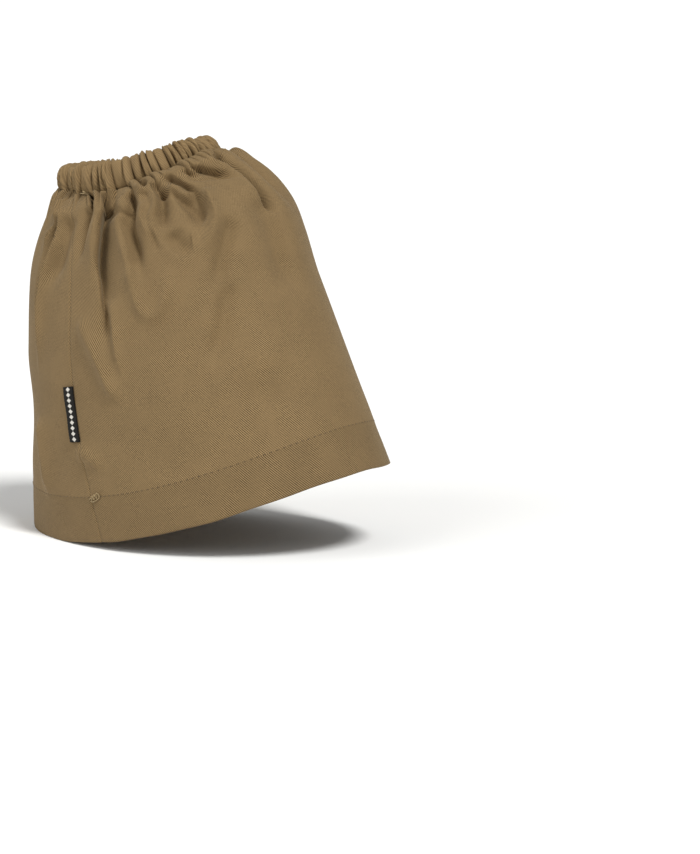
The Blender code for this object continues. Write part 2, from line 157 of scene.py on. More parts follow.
# Each fold: its half widths in mm on its back and front sides, its height, its form (1.3 has a
# creased crest, 2 is round and 3 has steep walls), the mm over which it starts, the share of its
# length that it keeps its height, and its path as degrees from the toe and thousandths of the way
# down. On a fold that runs round the tube, the back side is the lower one.
FOLDS = {
    # outer side, from the back towards the toe
    "back corner": (5, 5, 1.4, 2, 8, 0.3, ((-148, 0), (-146, 200), (-142, 420))),
    "back fold": (1.8, 1.8, 3, 1.4, 4, 0.5, ((-130.8, 35), (-125.2, 77), (-125.2, 115), (-128.2, 155),
        (-131, 195), (-133.2, 225))),
    "behind the edge": (3, 2, -6, 2, 7, 0.7, ((-123.3, 90), (-122.5, 158), (-123.8, 200), (-126.2, 247),
        (-127.8, 302), (-128.2, 372))),
    "back edge": (1.8, 2.6, 3.6, 1.2, 6, 0.6, ((-120.5, 55), (-117.8, 115), (-118, 170), (-119.7, 215),
        (-122.5, 265), (-124.2, 315), (-125, 372), (-126, 460), (-128.2, 560))),
    "seam hollow": (2.2, 5.6, -4.6, 2, 7, 0.6, ((-114.5, 85), (-114.6, 150), (-115.8, 210), (-118.3, 270),
        (-121, 325))),
    "seam slot": (1.2, 1.2, -6.5, 2.4, 1.5, 0.6, ((-98.8, 2), (-93.2, 58), (-93.2, 87), (-95.5, 107))),
    "seam trough": (3, 1.9, -6, 2, 4, 0.3, ((-94, 77), (-96.2, 113), (-98.2, 152), (-99.8, 190),
        (-100.5, 228), (-102, 275))),
    "lap ridge": (3.2, 1.6, 2.4, 1.6, 3, 0.5, ((-94.2, 5), (-88.8, 85), (-88, 117), (-89.8, 160),
        (-91.2, 205), (-92, 253), (-93, 305), (-93.5, 367))),
    "deep trough": (1.2, 5, -9, 2.2, 6, 0.38, ((-85.4, 20), (-82.4, 90), (-83.6, 122), (-85, 158),
        (-86.3, 200), (-87.8, 242), (-88, 275), (-87.3, 315), (-87, 362), (-87.3, 422), (-88, 490))),
    "deep branch": (1.1, 1.2, -5, 2, 1.5, 0.6, ((-78.5, 65), (-80, 90), (-82.2, 110))),
    "crossing wrinkle": (1.2, 1.2, -4.2, 2, 1.5, 0.6, ((-79.8, 62), (-76.5, 77), (-73, 75))),
    "puff": (2.4, 1.6, 3, 2.2, 3, 0.6, ((-74.8, 62), (-73, 105), (-73.2, 142))),
    "puff tail": (2.6, 1.6, 3.4, 1.5, 5, 0.4, ((-75, 122), (-76.3, 175), (-76.2, 225), (-75.8, 273),
        (-75.2, 325), (-75.2, 390))),
    "middle slot": (1.2, 1.4, -5.6, 2.2, 1.5, 0.6, ((-68.2, 65), (-68, 107), (-69, 135), (-71.2, 165))),
    "middle trough": (2, 2.2, -6.2, 2, 3, 0.4, ((-70.6, 130), (-73.2, 175), (-73.3, 223), (-72.6, 260),
        (-72.4, 292), (-71.8, 323), (-71, 370))),
    "third ridge": (1.8, 1.3, 3, 1.5, 3, 0.4, ((-63, 58), (-61.5, 100), (-62.2, 135), (-65.5, 168),
        (-65.8, 207), (-65.5, 247), (-65.2, 287))),
    "small slot": (1, 1, -3.4, 2, 1, 0.5, ((-61.2, 33), (-60.2, 75), (-59, 95))),
    "narrow trough": (1.2, 1.2, -3.2, 2, 2, 0.4, ((-61.5, 95), (-61.8, 122), (-62.5, 155))),
    "bent ridge": (2, 1.4, 3.6, 1.4, 3, 0.5, ((-56.5, 68), (-55.2, 120), (-57.2, 158), (-61.2, 188),
        (-62.5, 230), (-62, 278))),
    "thin crease": (1, 1, -1.6, 1.8, 3, 0.5, ((-63.5, 220), (-63.8, 260), (-63.2, 300))),
    "crossing slot": (1, 1, -2.6, 2, 1, 0.6, ((-53.8, 103), (-52, 124), (-50, 139))),
    "hooked trough": (1.2, 2.4, -5.2, 2, 2, 0.65, ((-55.2, 75), (-54.2, 105), (-53.8, 130), (-54.8, 158),
        (-56.6, 186), (-57.8, 215), (-58.6, 245))),
    "low pocket": (1.8, 4.6, -3.4, 2, 5, 0.6, ((-57.5, 235), (-56.5, 272), (-54, 300), (-50.5, 316),
        (-47.5, 316))),
    "slanting trough": (1.2, 1.8, -4.6, 2, 3, 0.55, ((-49.5, 58), (-45.8, 104), (-43.5, 124), (-41, 147),
        (-38.8, 170), (-37.6, 190))),
    "upper pocket": (5, 1.5, -4.8, 2, 5, 0.6, ((-41, 150), (-39.4, 180), (-39.6, 207), (-41.5, 235),
        (-44.5, 258), (-48, 274))),
    "slant ridge": (1.7, 1.7, 2.6, 1.6, 3, 0.5, ((-47.5, 102), (-45, 145), (-42.5, 175), (-41.5, 207))),
    "second slant": (1.1, 3.2, -3.2, 2, 3, 0.6, ((-48.5, 130), (-47.3, 157), (-46.4, 186), (-44.8, 220),
        (-43.6, 255))),
    "pocket rim": (1.8, 4, 3.8, 1.4, 5, 0.5, ((-33.6, 157), (-35, 210), (-36.4, 255), (-39.8, 290),
        (-44.2, 315), (-48.8, 333), (-52.8, 345))),
    "small slant": (1.1, 1.1, -3.4, 2, 1.5, 0.6, ((-37.5, 72), (-34.5, 98), (-31, 120))),
    "shelf line": (1.3, 1.3, -2, 1.8, 3, 0.6, ((-38, 98), (-36.2, 115), (-32.5, 130), (-28.8, 137),
        (-22.8, 144), (-17.8, 153), (-11.2, 164), (-6.8, 178))),
    "instep point": (0.9, 0.9, -3.5, 2, 1, 0.6, ((-32.5, 72), (-30.6, 86), (-28.6, 98))),
    "instep trough": (2.6, 1.3, -4.6, 2, 2.5, 0.5, ((-31.5, 82), (-27.8, 107), (-24.5, 120), (-20.8, 135),
        (-16.5, 147), (-12.5, 157))),
    "instep roll": (1.9, 2.4, 1.8, 1.7, 3, 0.6, ((-28, 78), (-24.5, 86), (-19.5, 97), (-15.5, 112),
        (-12.5, 130), (-10.5, 150))),
    "roll crease": (1.5, 2.8, -6.5, 1.8, 2, 0.7, ((-12, 68), (-13.2, 95), (-10.2, 113), (-7.3, 133),
        (-5.5, 157), (-5.5, 190), (-5.3, 230), (-4, 270), (-2, 305))),
    "roll nick": (1.3, 1.3, -6, 2, 2, 0.7, ((-8, 50), (-12, 83), (-12.5, 107))),
    "front hollow": (9, 6, -4.6, 2, 10, 0.6, ((-10, 210), (-9.5, 300), (-9, 380), (-9, 460), (-10, 550))),
    "low hollow": (3.2, 4.6, -3.2, 2, 7, 0.6, ((-29.5, 258), (-34.8, 312), (-39, 367), (-42, 417),
        (-44.2, 465))),
    "lower hollow": (3.4, 4.2, -3, 2, 7, 0.6, ((-36.5, 425), (-40.8, 487), (-44.5, 545), (-48.8, 593),
        (-53, 642))),
    "swag": (2.6, 2.6, 2.4, 1.5, 6, 0.7, ((-74.5, 290), (-74.2, 365), (-71.8, 422), (-67.8, 448),
        (-63.5, 430), (-61, 383), (-60.8, 323))),
    "long crease": (3.2, 3.2, 3, 1.4, 8, 0.8, ((-100, 388), (-95, 455), (-91, 525), (-87.8, 600),
        (-84, 652))),
    "trough tail": (2.4, 3.4, -2.4, 2, 6, 0.5, ((-87.2, 367), (-87.2, 430), (-87.5, 502))),
    "upright crease": (2, 2.2, 2.4, 1.4, 6, 0.6, ((-84.2, 360), (-83.5, 445), (-82.8, 517), (-82, 600))),
    "edge ridge": (4, 6, 3, 1.4, 10, 0.7, ((-129.5, 650), (-127.8, 738), (-126, 825), (-126.2, 907))),
    "label bulge": (2.4, 2.6, 1.8, 1.8, 4, 0.6, ((-108, 760), (-101.2, 780), (-95.5, 812))),
    "front swell": (12, 10, 2.6, 2, 20, 0.5, ((-27.5, 540), (-32.5, 642), (-41, 748))),
    "outer swell": (14, 14, 1, 2, 30, 0.4, ((-70, 420), (-73, 840))),
    # inner side and back
    "toe hollow": (3.6, 4.4, -3.2, 2, 4, 0.4, ((14, 20), (13, 100), (11, 190), (12, 320))),
    "toe ridge": (4.5, 3, 2, 1.5, 5, 0.4, ((24, 20), (22, 120), (24, 220), (22, 360))),
    "inner slant": (1.6, 2.4, -4.4, 2.2, 3, 0.6, ((41, 10), (38, 80), (33, 150), (28, 260))),
    "inner ridge": (4.5, 2.4, 1.8, 1.4, 4, 0.4, ((51, 10), (48, 100), (49, 180), (46, 340))),
    "inner trough": (2.6, 1.7, -7, 2.6, 4, 0.5, ((63, 6), (64, 100), (61, 200), (62, 320), (60, 450))),
    "inner puff": (2.4, 3.4, 2.6, 2, 4, 0.5, ((75, 10), (74, 60), (71, 120), (72, 220))),
    "inner wrinkle": (1, 1.4, -2.6, 1.6, 2, 0.5, ((82, 10), (81, 70), (78, 130))),
    "long trough": (1.6, 3, -4.6, 2.2, 4, 0.5, ((88, 10), (87, 90), (91, 170), (90, 260), (93, 380))),
    "long ridge": (3.4, 2.2, 1.9, 1.4, 4, 0.4, ((99, 10), (100, 100), (103, 220), (102, 400))),
    "narrow inner trough": (1, 1.2, -3, 2, 2, 0.4, ((107, 10), (108, 80), (106, 150))),
    "inner short trough": (2.6, 1.5, -3.8, 2.2, 3, 0.5, ((116, 10), (114, 100), (116, 180), (112, 280))),
    "heel ridge": (3, 4.4, 1.9, 1.4, 5, 0.4, ((128, 10), (130, 120), (129, 240), (132, 420))),
    "heel trough": (1.5, 3, -4.4, 2.2, 4, 0.5, ((142, 10), (144, 100), (141, 190), (146, 360))),
    "heel roll": (4, 3, 1.8, 1.5, 5, 0.4, ((157, 10), (159, 120), (157, 220), (160, 380))),
    "back trough": (3, 1.6, -5, 2.4, 4, 0.5, ((173, 10), (175, 120), (173, 240), (177, 420))),
    "back ridge": (3, 4, 1.9, 1.4, 5, 0.4, ((-170, 10), (-168, 120), (-169, 220), (-166, 340))),
    "back hollow": (2.2, 3, -3.2, 2, 3, 0.5, ((-158, 10), (-156, 100), (-158, 180), (-157, 300))),
    "heel sag": (14, 14, -1.6, 2, 25, 0.4, ((-154, 480), (-152, 660), (-150, 860))),
    "inner swell": (14, 14, 1, 2, 30, 0.4, ((66, 440), (70, 860))),
    "inner dip": (10, 10, -1, 2, 25, 0.4, ((112, 460), (114, 860))),
}
PATH_STEPS = 48           # points along the smooth curve of a fold's path
FOLD_REACH = 3            # half widths from a fold's path past which it is left out
EVENING_ROUNDS = 120      # rounds in which the weave is evened out over the folds
# Share of a trough's depth by which its bottom slides under its neighbour: towards the back where
# the trough runs down, and up where it runs round
LEANS = {
    "deep trough": 0.9, "seam slot": 0.4, "middle slot": 0.35, "hooked trough": 0.3, "slanting trough": -0.3,
    "instep trough": -0.4, "inner trough": -0.6, "long trough": -0.4, "back trough": 0.5, "heel trough": -0.4,
}

RIB_SLOPE = 55.0          # degrees by which the twill's ribs run down to the right

# Side label, in mm where nothing else is said
LABEL_DOWN = (0.578, 0.735)      # its ends, as shares of the way down
LABEL_LENGTH = (LABEL_DOWN[1] - LABEL_DOWN[0]) * PANEL_LENGTH
LABEL_REACH = 5.1         # how far it stands out from the seam
LABEL_LAYER = 0.28        # thickness of the tape
LABEL_FOLD = 0.34         # radius of its fold
LABEL_TUCK = 0.3          # how far it reaches into the seam
LABEL_STEPS = (12, 26)    # rows across each layer, and along the label

# Loose threads, each as points: mm round from the seam, share of the way down, mm proud
THREADS = {
    "back_tack": (
        (-1.2, 0.8905, 0.1), (0.2, 0.8860, 0.6), (0.8, 0.8925, 0.5), (1.8, 0.8800, 0.9), (2.4, 0.8905, 0.8),
        (3.2, 0.8770, 1.0), (4.0, 0.8870, 0.8), (4.8, 0.8745, 1.1), (5.7, 0.8765, 1.0), (5.8, 0.8840, 0.8),
        (4.6, 0.8900, 0.7), (3.0, 0.8940, 0.8), (1.2, 0.8960, 0.7), (-0.6, 0.8940, 0.3),
    ),
    "thread_end": (
        (4.6, 0.000, 3.0), (5.6, 0.001, 3.4), (6.8, 0.006, 3.5), (8.2, 0.015, 3.3), (9.6, 0.027, 2.8),
    ),
}

# Camera: the photograph is 700 by 854 pixels
PHOTO_SIZE = (700, 854)
ORIGIN_SEEN_AT = (140.5, 161.5)      # pixel where the origin falls
PIXELS_PER_MM = 2.42                 # at the origin
CAMERA_AZIMUTH = 35.0
CAMERA_PITCH = 9.0
CAMERA_DISTANCE = 2000.0
SENSOR = 36.0

# Stage: each light's strength, and its softness, azimuth and elevation in degrees
LIGHTS = {"key panel": (2.8, 16.0, 64.0, 54.0), "fill panel": (1.2, 50.0, -20.0, 30.0)}
ROOM_LIGHT = 0.36
FLOOR_DROP = 0.4          # mm between the hem and the floor
FLOOR_RADIUS = 14         # m


def linear(hex_colour):
    """An sRGB hex colour as a linear one: the standard curve with its straight foot."""
    parts = [int(hex_colour[i:i + 2], 16) / 255 for i in (1, 3, 5)]
    return tuple(c / 12.92 if c <= 0.04045 else ((c + 0.055) / 1.055) ** 2.4 for c in parts)


# ---------------------------------------------------------------- settings


def length_setting(name, description, size):
    """A length that a user would change, given in mm and kept in metres."""
    return FloatProperty(name=name, description=description, default=size * MM, unit="LENGTH")


def colour_setting(name, description, hex_colour):
    """A colour that a user would change."""
    return FloatVectorProperty(
        name=name, description=description, subtype="COLOR", size=3, default=linear(hex_colour))


class BootCoverSizes(bpy.types.PropertyGroup):
    """Sizes that a user would change."""

    cloth: length_setting("Cloth", "Thickness of one layer of twill", 0.45)
    pleat: length_setting("Pleat height", "Height of the casing's pleats", 3.6)
    pleat_fade: length_setting("Pleat fade", "How far below the casing the pleats die out", 7.5)
    stitch: length_setting("Stitch", "Length of one hem stitch", 2.6)
    thread: length_setting("Thread", "Thickness of the sewing thread", 0.3)
    rib: length_setting("Twill rib", "Distance from one diagonal rib to the next", 0.75)
    marks: IntProperty(
        name="Label marks", description="Number of plain woven lozenges on the label", default=9)


class BootCoverColours(bpy.types.PropertyGroup):
    """Colours that a user would change."""

    twill_light: colour_setting("Twill ribs", "Raised warp of the twill", "#9A7F56")
    twill_dark: colour_setting("Twill furrows", "Weft between the ribs", "#33281A")
    # The thread is darker than the cloth partly as painted shade, for the dents that the hem's stitches sink
    # into.
    thread: colour_setting("Thread", "Sewing thread", "#665233")
    thread_end: colour_setting("Thread ends", "Loose ends and back-tack", "#A08A62")
    label: colour_setting("Label", "Ground of the woven label", "#12100D")
    label_mark: colour_setting("Label marks", "Woven marks on the label", "#C9C5BC")
    elastic: colour_setting("Elastic", "Braided elastic", "#DCDAD2")
    floor: colour_setting("Floor", "Plain floor", "#F4F4F2")


# ---------------------------------------------------------------- form of the tube


def smooth_rows(knots, values, at):
    """Cubic curve through the rows, whose slope at each row comes from its two neighbours."""
    slopes = np.gradient(values, knots)
    row = np.clip(np.searchsorted(knots, at, side="right") - 1, 0, len(knots) - 2)
    span = knots[row + 1] - knots[row]
    t = (at - knots[row]) / span
    rise = values[row + 1] - values[row]
    bend_in = slopes[row] * span - rise
    bend_out = slopes[row + 1] * span - rise
    return values[row] + t * rise + t * (1 - t) * ((1 - t) * bend_in - t * bend_out)


def section(column, down):
    """One size of the tube at the given share of the way down."""
    return smooth_rows(SECTIONS[:, 0], SECTIONS[:, SECTION_COLUMNS.index(column)], down)


def ring(angle, back_x, back_z, front_x, front_z, half_width, dip):
    """Oval: x and z run from back to front as (1 + cos) / 2, y is the half width times sin, and the
    sides hang down by the dip times sin squared."""
    along = (1 + np.cos(angle)) / 2
    x = back_x + (front_x - back_x) * along
    y = half_width * np.sin(angle)
    z = back_z + (front_z - back_z) * along - dip * np.sin(angle) ** 2
    return np.stack(np.broadcast_arrays(x, y, z), axis=-1)


def base_panel(angle, down):
    """The tube before its folds: the oval of each height, whose dip is less on the inner side."""
    dip = DIP_TOP + (DIP_HEM - DIP_TOP) * down
    dip = dip * np.where(np.sin(angle) > 0, 1 - FAR_SIDE_LIFT * down, 1.0)
    sizes = [section(name, down) for name in SECTION_COLUMNS[1:6]]
    return ring(angle, *sizes, dip)


def unit(vectors):
    """Vectors divided by their lengths."""
    return vectors / np.linalg.norm(vectors, axis=-1, keepdims=True)


def casing_side(angle):
    """Foot and crest of the casing's outer side, and the way out: across the crest's own direction
    and the rise from foot to crest."""
    foot = base_panel(angle, np.zeros_like(angle))
    crest = ring(angle, *CREST.values())
    around = ring(angle + 1e-4, *CREST.values()) - crest
    return foot, crest, unit(np.cross(around, crest - foot))


def panel_normals(angle, down):
    """Outward normals: the cross product of the steps down and around, turned to the casing's at
    the casing's stitches."""
    step = 1e-4
    held = np.clip(down, 0.002, 0.998)
    around = base_panel(angle + step, held) - base_panel(angle - step, held)
    downward = base_panel(angle, held + step) - base_panel(angle, held - step)
    own = unit(np.cross(downward, around))
    turned = np.clip(down / CASING_HOLD, 0, 1)[..., None]
    return unit(own * turned + casing_side(angle)[2] * (1 - turned))


def turn_from_seam(turn):
    """Share of a turn from the seam, the shorter way round."""
    return np.abs((turn + 0.5) % 1 - 0.5)


def cloth_angle(turn, down):
    """Angle of the cloth that lies this share of a turn past the seam: equal lengths of an oval
    apart, plus the seam's lean as a cos squared bell round the seam."""
    even = np.radians(SEAM_ANGLE) + 2 * np.pi * turn
    half_length = (section("front_x", down) - section("back_x", down)) / 2
    half_width = section("half_width", down)
    stretch = (half_length - half_width) / (half_length + half_width)
    bell = np.cos(np.clip(turn_from_seam(turn) * 360 / SEAM_SPREAD, 0, 1) * np.pi / 2) ** 2
    lean = np.radians(section("seam_lean", down)) * bell
    start = stretch / 2 * np.sin(2 * np.radians(SEAM_ANGLE))
    return even + stretch / 2 * np.sin(2 * even) - start + lean


def girth(down):
    """Length round the tube, as pi times the sum of its half axes."""
    return np.pi * (section("half_width", down) + (section("front_x", down) - section("back_x", down)) / 2)


# ---------------------------------------------------------------- pleats and folds


def pleat_widths():
    """Widths of all pleats in mm, from the seam round to the seam: those of the outer side, then
    others like them in another order."""
    seen = np.array(PLEATS_SEEN)
    inner = np.concatenate((np.roll(seen, 9)[::-1], seen[4:17]))
    return np.concatenate((seen, inner, PLEATS_AT_BACK))


PLEAT_WIDTHS = pleat_widths()
PLEAT_EDGES = np.concatenate(([0], np.cumsum(PLEAT_WIDTHS))) / PLEAT_WIDTHS.sum()
PLEAT_COUNT = len(PLEAT_WIDTHS)
HEIGHT_LUCK, REACH_LUCK, LEAN_LUCK = np.random.default_rng(7).uniform(0, 1, (3, PLEAT_COUNT))


def pleat_columns():
    """Shares of a turn, closer together in the grooves by a sine, and a few close to the seam."""
    turns = []
    for pleat, (start, end) in enumerate(zip(PLEAT_EDGES[:-1], PLEAT_EDGES[1:])):
        outer_side = pleat < len(PLEATS_SEEN) + SEEN_PAST_TOE or pleat >= PLEAT_COUNT - SEEN_PAST_SEAM
        count = SEEN_COLUMNS if outer_side else OTHER_COLUMNS
        even = np.arange(count) / count
        turns.append(start + (end - start) * (even - GROOVE_CROWDING * np.sin(2 * np.pi * even)))
    turns = np.concatenate(turns)
    first = FIRST_COLUMN / girth(0.5)
    edge = SEAM_COLUMNS / girth(0.5)
    clear = edge[-1] * 1.2
    inside = turns[(turns > clear) & (turns < 1 - clear)]
    return np.concatenate(([first], edge, inside, 1 - edge[::-1], [1 - first]))


def pleat_ridge(turn):
    """Height of the pleats from 0 in a groove to about 1 on a ridge: tanh of the flatness times the
    sine of the way across, with the ridge a little to one side, and lower where a pleat is wide."""
    which = np.clip(np.searchsorted(PLEAT_EDGES, turn, side="right") - 1, 0, PLEAT_COUNT - 1)
    across = (turn - PLEAT_EDGES[which]) / (PLEAT_EDGES[which + 1] - PLEAT_EDGES[which])
    across = np.clip(across, 0, 1)
    across = across + (LEAN_LUCK[which] - 0.5) * across * (1 - across)
    ridge = np.tanh(PLEAT_FLATNESS * np.abs(np.sin(np.pi * across)))
    own = np.clip(FULL_PLEAT / PLEAT_WIDTHS, 0.4, 1.1) * (0.8 + 0.35 * HEIGHT_LUCK)
    own[-len(PLEATS_AT_BACK):] *= FLAT_AT_BACK
    return ridge * own[which]


def pleat_reach(turn):
    """How far down each pleat runs, from 0.5 to 1.8 times the mean, smooth from one to the next."""
    middles = (PLEAT_EDGES[:-1] + PLEAT_EDGES[1:]) / 2
    return np.interp(turn, middles, 0.5 + 1.3 * REACH_LUCK, period=1)


def stitch_pinch(way):
    """Share of their height that the pleats have: 0.8 on their stitches, and all of it at 1."""
    return 0.8 + 0.2 * np.clip(way, 0, 1)


def folds_over(angle, down):
    """All named folds together, in mm outwards, forwards and down. Across each is a bell, exp of
    minus the distance to the power of its form, with its own width on either side of its path, and
    along it a sin squared start and a cos squared end. A leaning one also slides across its path by
    a share of its height."""
    mean = girth(down) / (2 * np.pi)
    moved = np.zeros((3, *np.broadcast(angle, down).shape))
    for name, (back, front, height, form, start, hold, path) in FOLDS.items():
        corners = np.array(path) / (1, 1000)
        steps = np.linspace(0, len(corners) - 1, PATH_STEPS)
        path_angle, path_down = (smooth_rows(np.arange(len(corners)), corners[:, i], steps) for i in (0, 1))
        middle = path_angle.mean()
        path_x = np.radians(path_angle - middle) * girth(path_down) / (2 * np.pi)
        path_y = path_down * PANEL_LENGTH
        lengths = np.concatenate(([0], np.cumsum(np.hypot(np.diff(path_x), np.diff(path_y)))))
        way_x, way_y = np.gradient(path_x, lengths), np.gradient(path_y, lengths)
        x = np.radians((np.degrees(angle) - middle + 180) % 360 - 180) * mean
        y = down * PANEL_LENGTH
        reach = FOLD_REACH * max(back, front)
        near = (x > path_x.min() - reach) & (x < path_x.max() + reach)
        near &= (y > path_y.min() - reach) & (y < path_y.max() + reach)
        x, y = x[near], np.broadcast_to(y, near.shape)[near]
        nearest = np.argmin((x[:, None] - path_x) ** 2 + (y[:, None] - path_y) ** 2, axis=1)
        off_x, off_y = x - path_x[nearest], y - path_y[nearest]
        aside = off_x * way_y[nearest] - off_y * way_x[nearest]
        along = lengths[nearest] + off_x * way_x[nearest] + off_y * way_y[nearest]
        begun = np.sin(np.clip(along / start, 0, 1) * np.pi / 2) ** 2
        ended = np.cos(np.clip((along / lengths[-1] - hold) / (1 - hold), 0, 1) * np.pi / 2) ** 2
        bell = height * begun * ended * np.exp(-np.abs(aside / np.where(aside < 0, back, front)) ** form)
        lean = LEANS.get(name, 0.0) * bell
        moved[:, near] += np.stack((bell, lean * way_y[nearest], -lean * way_x[nearest]))
    return moved


def pleats_over(turn, down, sizes):
    """Height of the panel's pleats in mm: they die out below the casing as a bell, each over its own
    reach, and the casing's stitches draw the cloth in over a bell of 0.9 mm."""
    fade = sizes.pleat_fade / MM / PANEL_LENGTH
    pleats = sizes.pleat / MM * (pleat_ridge(turn) - PANEL_GROOVE) * stitch_pinch(down / 0.015)
    pleats = pleats * np.exp(-(down / (fade * pleat_reach(turn))) ** 2)
    return pleats - STITCH_BITE * np.exp(-(down * PANEL_LENGTH / 0.9) ** 2)


def puckers_over(turn, down):
    """Height in mm of the tuck into the seam, a bell of 0.6 mm, and of the slanting puckers beside the
    hem's stitches: a sine of the way round and down, which is none on the stitches themselves, full
    1.5 mm from them and gone past 6 mm."""
    tuck = -SEAM_TUCK * np.exp(-(turn_from_seam(turn) * girth(down) / 0.6) ** 2)
    around = turn * CUT_WIDTH
    below = (down - HEM_TOP) * PANEL_LENGTH
    pucker = PUCKER * np.sin(around / 5.1 + below / 4.0 + 1.3 * np.sin(around / 31))
    return tuck + pucker * (1 - np.exp(-np.abs(below) / 1.5)) * np.exp(-np.abs(below) / 6.0)


def panel_face(turn, down, sizes, proud=0.0):
    """Outer face of the cloth: the base oval moved out along its normals by the folds, the pleats, the
    tuck and the puckers, and slid forwards and down where a trough leans."""
    angle = cloth_angle(turn, down)
    fold, forwards, lower = folds_over(angle, down)
    height = fold + pleats_over(turn, down, sizes) + puckers_over(turn, down) + np.asarray(proud)
    step = 1e-3
    ahead = unit(base_panel(angle + step, down) - base_panel(angle - step, down))
    held = np.clip(down, step, 1 - step)
    below = unit(base_panel(angle, held + step) - base_panel(angle, held - step))
    slid = ahead * forwards[..., None] + below * lower[..., None]
    return base_panel(angle, down) + panel_normals(angle, down) * height[..., None] + slid


def casing_face(turn, share, proud):
    """A point of the casing: this share of the way from foot to crest, moved out square to it."""
    foot, crest, out = casing_side(cloth_angle(turn, np.zeros_like(turn)))
    return foot + (crest - foot) * share[..., None] + out * proud[..., None]


# ---------------------------------------------------------------- meshes


def new_piece(name, points, quads, uv, finish):
    """A smooth mesh object from points in mm, with the cloth's own UV map in metres of its cut."""
    mesh = bpy.data.meshes.new(name)
    mesh.from_pydata((points.reshape(-1, 3) * MM).tolist(), [], quads.tolist())
    layer = mesh.uv_layers.new(name="cut")
    corners = np.empty(len(mesh.loops), dtype=np.int32)
    mesh.loops.foreach_get("vertex_index", corners)
    layer.data.foreach_set("uv", (uv.reshape(-1, 2) * MM)[corners].ravel())
    mesh.shade_smooth()
    mesh.materials.append(finish)
    piece = bpy.data.objects.new(name, mesh)
    bpy.context.scene.collection.objects.link(piece)
    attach(piece, BODY)
    return piece


def quads_between(index, ahead):
    """Faces between each row and the one below it, from each column to the one ahead."""
    return np.stack((index[:-1], index[1:], ahead[1:], ahead[:-1]), axis=-1).reshape(-1, 4)


def along_rows(points):
    """Share of its row's length at which each point lies, evened out from row to row so that the
    twill's ribs bend softly over the folds."""
    steps = np.linalg.norm(np.diff(points, axis=1), axis=-1)
    lengths = np.insert(np.cumsum(steps, axis=1), 0, 0.0, axis=1)
    shares = lengths / lengths[:, -1:]
    for _ in range(EVENING_ROUNDS):
        spread = np.pad(shares, ((1, 1), (0, 0)), mode="edge")
        shares = (spread[:-2] + 2 * spread[1:-1] + spread[2:]) / 4
    return shares


def closed_wall(points):
    """Points and faces of a wall whose rows go once round it, from its outer face over its edge and
    back along its inner one, with a cap at each end of the rows."""
    rows, columns = points.shape[:2]
    index = np.arange(rows * columns).reshape(rows, columns)
    loop = np.concatenate((index, index[:1]))
    faces = [quads_between(loop[:, :-1], loop[:, 1:])]
    half = rows // 2
    for edge, sign in ((index[:, 0], 1), (index[:, -1], -1)):
        front, back = edge[:half], edge[:half - 1:-1]
        cap = np.stack((front[:-1], back[:-1], back[1:], front[1:]), axis=-1)
        faces.append(cap[:, ::sign])
    return points, np.concatenate(faces)


def lofted_piece(name, outer, inner, uv, finish, slot):
    """A piece whose wall lies between an outer and an inner face on the same grid and of the same cut."""
    points, quads = closed_wall(np.concatenate((outer, inner[::-1])))
    return new_piece(name, points, quads, np.concatenate((uv, uv[::-1])), finish)


def tubes(paths, radii, sides, up):
    """Round threads along paths, all at once: at each point a circle in the plane across the path,
    set out from the up direction, with the ends closed by a last ring of no size."""
    along = unit(np.gradient(paths, axis=1))
    side = unit(np.cross(along, up))
    over = np.cross(side, along)
    turn = np.linspace(0, 2 * np.pi, sides, endpoint=False)
    circle = side[:, :, None] * np.cos(turn)[:, None] + over[:, :, None] * np.sin(turn)[:, None]
    points = paths[:, :, None] + circle * radii[..., None, None]
    count, steps = paths.shape[:2]
    index = np.arange(count * steps * sides).reshape(count, steps, sides)
    ahead = np.roll(index, -1, axis=2)
    quads = np.stack((index[:, :-1], ahead[:, :-1], ahead[:, 1:], index[:, 1:]), axis=-1)
    return points, quads.reshape(-1, 4)


# ---------------------------------------------------------------- materials


def set_inputs(tree, node, inputs):
    """Gives each of a node's inputs its value or its link."""
    for name, value in inputs.items():
        if isinstance(value, bpy.types.NodeSocket):
            tree.links.new(value, node.inputs[name])
        else:
            node.inputs[name].default_value = value


def add_node(tree, kind, settings, inputs):
    """Adds a node, sets its properties, and gives each input a value or a link."""
    node = tree.nodes.new("ShaderNode" + kind)
    for name, value in settings.items():
        setattr(node, name, value)
    set_inputs(tree, node, inputs)
    return node


def new_finish(name, constants):
    """A node material with its Principled shader's plain sockets set."""
    finish = bpy.data.materials.new(name)
    finish.use_nodes = True
    shader = finish.node_tree.nodes["Principled BSDF"]
    set_inputs(finish.node_tree, shader, constants)
    return finish, finish.node_tree, shader


def band_scale(spacing):
    """Scale of a wave texture whose bands lie this many metres apart: 2 pi over 20 spacings."""
    return 2 * math.pi / 20 / spacing


def rgba(colour):
    """A colour with full alpha."""
    return (*colour, 1.0)


